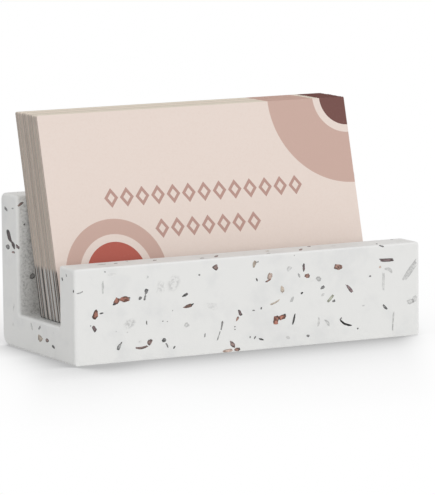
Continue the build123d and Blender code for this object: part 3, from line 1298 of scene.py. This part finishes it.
@dataclass
class CardStack:
    """The leaning stack: thin cards with eased corners and crushed cut edges, one piece each."""

    joints: list[dict]
    thickness: float = 0.36 * MM
    corner_radius: float = 0.4 * MM
    crush: float = 0.05 * MM
    trim_play: float = 0.14 * MM
    seed: int = 7

    FRONT_SLOT, EDGE_SLOT, BACK_SLOT = range(3)
    CORNER_STEPS = 4
    # The front card's tone, which paints a highlight on its edges.
    FRONT_HIGHLIGHT_TONE = 1.6
    # Edge tones go by sheaves of cards, partly as painted shade of the gaps between them.
    SHEAF_CARDS = (2, 5)
    SHEAF_SHARE = 0.8
    TONE_STRAY = 0.2
    # Stripes of painted shade at the cards' feet: dark and grey sheaves of cards.
    FOOT_CARDS = (2, 4)
    SHADED_FEET = (0.0, 0.25)
    PALE_SHADED_FEET = (0.6, 1.0)

    def build(self, finish: CardFinish) -> list[Piece]:
        """Makes every card that has a lifting joint.

        Args:
            finish: the cards' finishes.

        Returns:
            The cards' objects, front to rear.
        """
        rng = np.random.default_rng(self.seed)
        materials = [finish.front(), finish.cut_edge(), finish.plain_back()]
        count = len(self.joints)
        sheaf = np.repeat(rng.uniform(0.0, 1.0, count), rng.integers(*self.SHEAF_CARDS, count))[:count]
        tones = self.SHEAF_SHARE * sheaf + rng.uniform(0.0, self.TONE_STRAY, count)
        tones[0] = self.FRONT_HIGHLIGHT_TONE
        trims = rng.uniform(0.0, self.trim_play, count)
        # Which sheaves get near-black painted shade at the foot, and which grey.
        shaded_feet = np.repeat(np.arange(count) % 2 == 0, rng.integers(*self.FOOT_CARDS, count))[:count]
        dark_feet = rng.uniform(*self.SHADED_FEET, count)
        feet = np.where(shaded_feet, dark_feet, rng.uniform(*self.PALE_SHADED_FEET, count))
        looks = zip(self.joints, trims, tones, feet)
        return [self.card(joint, trim, tone, foot, materials) for joint, trim, tone, foot in looks]

    def card(self, joint: dict, trim: float, tone: float, foot_tone: float, materials: list) -> Piece:
        """Makes one card in the place of its CAD node.

        The outline is a rectangle with eased corners, across and up the card. It is carried through
        the thickness as four rings, and the outer two are drawn in by the crush.

        Args:
            joint: the card's lifting joint, whose body has the name of the CAD node.
            trim: how much the guillotine took off the top.
            tone: paleness of its cut edges, from 0 to 1, and more for the front card's painted highlight.
            foot_tone: paleness of the painted shade at its foot, from 0 to 1.
            materials: front, edge and back materials.

        Returns:
            The card's object.
        """
        node, up = joint["child"], np.array(joint["axis"])
        low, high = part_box(node)
        front = np.array((0.0, -up[2], up[1]))
        width = high.x - low.x
        height = (high.z - low.z - self.thickness * up[1]) / up[2] - trim
        foot = np.array(((low.x + high.x) / 2, low.y + self.thickness * up[2], low.z))
        outline, inward = self.outline(width, height)
        crush, full = self.crush, self.thickness
        rings = np.stack([outline + inward * d for d in (crush, 0.0, 0.0, crush)])
        level = np.array((0.0, crush, full - crush, full))[:, None, None]
        vertices = foot + rings[..., :1] * np.array((1.0, 0.0, 0.0)) + rings[..., 1:] * up + level * front
        layers, around = rings.shape[:2]
        ring = np.arange(around)
        faces = grid_quads(layers, around)[:, ::-1].tolist()
        bands = len(faces)
        faces += [ring[::-1].tolist(), (bands + ring).tolist()]
        piece = new_piece(f"printed_{node}", vertices, faces, materials)
        mesh = piece.data
        slots = np.repeat((self.EDGE_SLOT, self.BACK_SLOT, self.FRONT_SLOT), (bands, 1, 1))
        mesh.polygons.foreach_set("material_index", slots.astype(np.int32))
        mesh.polygons.foreach_set("use_smooth", np.repeat((True, False), (bands, 2)))
        shares = np.column_stack([outline[:, 0] / width + 0.5, outline[:, 1] / height])
        corner = np.zeros(len(mesh.loops), np.int32)
        mesh.loops.foreach_get("vertex_index", corner)
        spread = np.tile(shares, (layers, 1))[corner].astype(np.float32)
        mesh.uv_layers.new(name="card").data.foreach_set("uv", spread.ravel())
        set_attribute(piece, "tone", np.full(layers * around, tone))
        # Paleness of the painted shade at the foot.
        set_attribute(piece, "foot", np.full(layers * around, foot_tone))
        # Where an edge faces up, to take the painted light of the top.
        set_attribute(piece, "rise", np.tile(np.maximum(-inward[:, 1], 0.0), layers))
        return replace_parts(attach(piece, node), node)

    def outline(self, width: float, height: float) -> tuple[np.ndarray, np.ndarray]:
        """Traces the card's outline counter-clockwise, each corner a quarter arc.

        Args:
            width: the card's width.
            height: the card's height.

        Returns:
            Places across and up the card, and inward directions.
        """
        r = self.corner_radius
        quarter = np.linspace(0.0, QUARTER, self.CORNER_STEPS + 1)
        angle = (np.arange(4)[:, None] * QUARTER + quarter[None]).ravel()
        spoke = np.stack([np.cos(angle), np.sin(angle)], axis=1)
        side = np.repeat(np.array([(1, 1), (-1, 1), (-1, -1), (1, -1)]), self.CORNER_STEPS + 1, axis=0)
        middle = side * np.array((width / 2 - r, height / 2 - r)) + np.array((0.0, height / 2))
        return middle + r * spoke, -spoke


@dataclass(frozen=True)
class PadFinish:
    """Matt grey rubber film with a fine closed grain."""

    pale: Colour = (0.30, 0.30, 0.30)
    dark: Colour = (0.20, 0.20, 0.205)
    mottle_noise: Noise = (1.5 * MM, 3.0, 0.5)
    mottle_span: Span = (0.3, 0.7)
    grain_size: float = 0.3 * MM
    grain_depth: float = 0.05 * MM
    gloss: Span = (0.3, 0.7, 0.82, 0.92)
    specular: float = 0.3

    def material(self) -> Material:
        """Builds the film from a fine round grain and soft mottling.

        Returns:
            The material.
        """
        graph = NodeGraph("rubber_film_pad")
        place = graph.place()
        mottle = graph.noise(place, *self.mottle_noise)
        colour = graph.mix(graph.ease(mottle, *self.mottle_span), self.dark, self.pale)
        skin = graph.bump(graph.cells(place, self.grain_size)["Distance"], self.grain_depth)
        return graph.finish(colour, graph.ease(mottle, *self.gloss), skin, self.specular)


@dataclass
class Pads:
    """The four non-slip pads under the holder, which keep their CAD shapes."""

    nodes: dict[str, Piece]

    def dress(self, finish: PadFinish) -> list[Piece]:
        """Puts the rubber on every pad.

        Args:
            finish: the pads' finish.

        Returns:
            The pads' objects.
        """
        rubber = finish.material()
        pads = [piece for name, piece in self.nodes.items() if name.startswith("pad_")]
        for pad in pads:
            pad.data.materials.clear()
            pad.data.materials.append(rubber)
        return pads


@dataclass
class Studio:
    """Floor, light, world and camera. Angles are in degrees."""

    floor_radius: float = 4.0
    floor_white: Colour = (0.86, 0.86, 0.86)
    shadow_reach: float = 0.12
    deepest_shade: float = 0.42
    darkest_floor: float = 0.47
    shade_power: float = 1.2
    shade_gain: float = 1.17
    shade_slant: float = 0.5
    end_fades: tuple[Span, ...] = (
        (-64.0 * MM, -46.0 * MM, 0.2, 1.0),
        (53.0 * MM, 64.0 * MM, 1.0, 0.2),
    )
    corner_fades: tuple[Span, ...] = (
        (-56.0 * MM, -46.0 * MM, 0.0, 1.0),
        (-40.0 * MM, -14.0 * MM, 1.0, 0.0),
    )
    corner_reach: Span = (-36.0 * MM, -12.0 * MM, 1.0, 0.0)
    world_white: Colour = (1.0, 1.0, 1.0)
    ambient: float = 0.74
    backdrop: float = 1.0
    sun_strength: float = 1.04
    sun_spread: float = 50.0
    sun_azimuth: float = 12.0
    sun_elevation: float = 10.0
    focal_px: float = 4209.5
    image_px: tuple[int, int] = (435, 495)
    sensor: float = 36.0
    clip: tuple[float, float] = (0.05, 20.0)
    azimuth: float = -27.37
    elevation: float = 7.706
    roll: float = -0.625
    distance: float = 1.1022
    target: tuple[float, float, float] = (1.844 * MM, 0.0, 24.384 * MM)

    FLOOR_RINGS = 12
    FLOOR_SPOKES = 96
    SHADOW_SAMPLES = 24

    def floor(self) -> Piece:
        """Makes the floor: rings of a disc, seen as white but for the soft shade of what stands near.

        The shade is the part of the sky that is hidden, raised to a power. It fades past both ends,
        before the holder along lines that run forward and to the left, and grows up to twofold before
        the left corner.

        Returns:
            The floor's object.
        """
        graph = NodeGraph("white_floor")
        x, y, _ = graph.split(graph.place())
        before = graph.math("MINIMUM", y, 0.0)
        aside = graph.math("SUBTRACT", x, graph.times(before, self.shade_slant))
        corner = graph.ease(y, *self.corner_reach)
        for fade in self.corner_fades:
            corner = graph.times(corner, graph.ease(aside, *fade))
        occlusion = {"Distance": self.shadow_reach}
        sky = graph.add("ShaderNodeAmbientOcclusion", occlusion, samples=self.SHADOW_SAMPLES)["AO"]
        shade = graph.math("SUBTRACT", 1.0, graph.math("MAXIMUM", sky, self.deepest_shade))
        shade = graph.times(graph.math("POWER", shade, self.shade_power), self.shade_gain)
        ends = [graph.ease(aside, *fade) for fade in self.end_fades]
        for weight in (*ends, graph.math("ADD", corner, 1.0)):
            shade = graph.times(shade, weight)
        strength = graph.math("MAXIMUM", graph.math("SUBTRACT", 1.0, shade), self.darkest_floor)
        lit = graph.add("ShaderNodeBsdfDiffuse", {"Color": self.floor_white})[0]
        white = graph.add("ShaderNodeEmission", {"Strength": strength})[0]
        radius = self.floor_radius * np.linspace(0.0, 1.0, self.FLOOR_RINGS + 1)[1:, None] ** 2
        angle = np.arange(self.FLOOR_SPOKES)[None] * FULL_TURN / self.FLOOR_SPOKES
        flat = np.stack([radius * np.cos(angle), radius * np.sin(angle), 0.0 * radius * angle], axis=-1)
        faces = grid_quads(self.FLOOR_RINGS, self.FLOOR_SPOKES).tolist() + [list(range(self.FLOOR_SPOKES))]
        floor = new_piece("floor", flat, faces, [graph.shown(lit, white)])
        return floor

    def light(self) -> Piece:
        """Adds a soft sun and the pale world that fills the shadows.

        Returns:
            The sun's object.
        """
        data = bpy.data.lights.new("front", "SUN")
        data.energy = self.sun_strength
        data.angle = math.radians(self.sun_spread)
        sun = bpy.data.objects.new("front", data)
        sun.rotation_mode = "QUATERNION"
        sun.rotation_quaternion = self.backward(self.sun_azimuth, self.sun_elevation).to_track_quat("Z", "Y")
        bpy.context.scene.collection.objects.link(sun)
        graph = NodeGraph("studio", is_world=True)
        looks = [{"Color": self.world_white, "Strength": level} for level in (self.ambient, self.backdrop)]
        shaders = [graph.add("ShaderNodeBackground", look)[0] for look in looks]
        bpy.context.scene.world = graph.shown(*shaders)
        return sun

    @staticmethod
    def backward(azimuth: float, elevation: float) -> Vector:
        """Gives the direction from the holder to a viewer at an azimuth and an elevation in degrees."""
        a, e = math.radians(azimuth), math.radians(elevation)
        return Vector((math.sin(a) * math.cos(e), -math.cos(a) * math.cos(e), math.sin(e)))

    def camera(self) -> Piece:
        """Sets up the photograph's camera: a long lens from the front left, a little above.

        Returns:
            The camera's object.
        """
        data = bpy.data.cameras.new("photo_camera")
        data.sensor_width = self.sensor
        data.lens = self.focal_px * self.sensor / max(self.image_px)
        data.clip_start, data.clip_end = self.clip
        back = self.backward(self.azimuth, self.elevation)
        level = Vector((-back.y, back.x, 0.0)).normalized()
        rise = back.cross(level)
        roll = math.radians(self.roll)
        right = level * math.cos(roll) + rise * math.sin(roll)
        up = rise * math.cos(roll) - level * math.sin(roll)
        camera = bpy.data.objects.new("photo_camera", data)
        turn = Matrix((right, up, back)).transposed().to_4x4()
        camera.matrix_world = Matrix.Translation(Vector(self.target) + back * self.distance) @ turn
        bpy.context.scene.collection.objects.link(camera)
        bpy.context.scene.camera = camera
        return camera


def main() -> None:
    """Loads the frame, builds and dresses every piece, and sets up the studio."""
    logging.basicConfig(level=logging.INFO, format="%(name)s: %(message)s")
    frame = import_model()
    bpy.context.scene.view_settings.view_transform = "Standard"

    binder = BinderFinish()
    holder = Holder(*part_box("holder"))
    studio = Studio()
    pieces = [
        holder.build(binder.material()),
        TerrazzoChips(holder).build(ChipFinish(binder).material()),
        *CardStack(frame["joints"]).build(CardFinish()),
        *Pads(frame["nodes"]).dress(PadFinish()),
        studio.floor(),
        studio.light(),
        studio.camera(),
    ]
    for piece in pieces:
        log.info("%s is in place", piece.name)


if __name__ == "__main__":
    main()
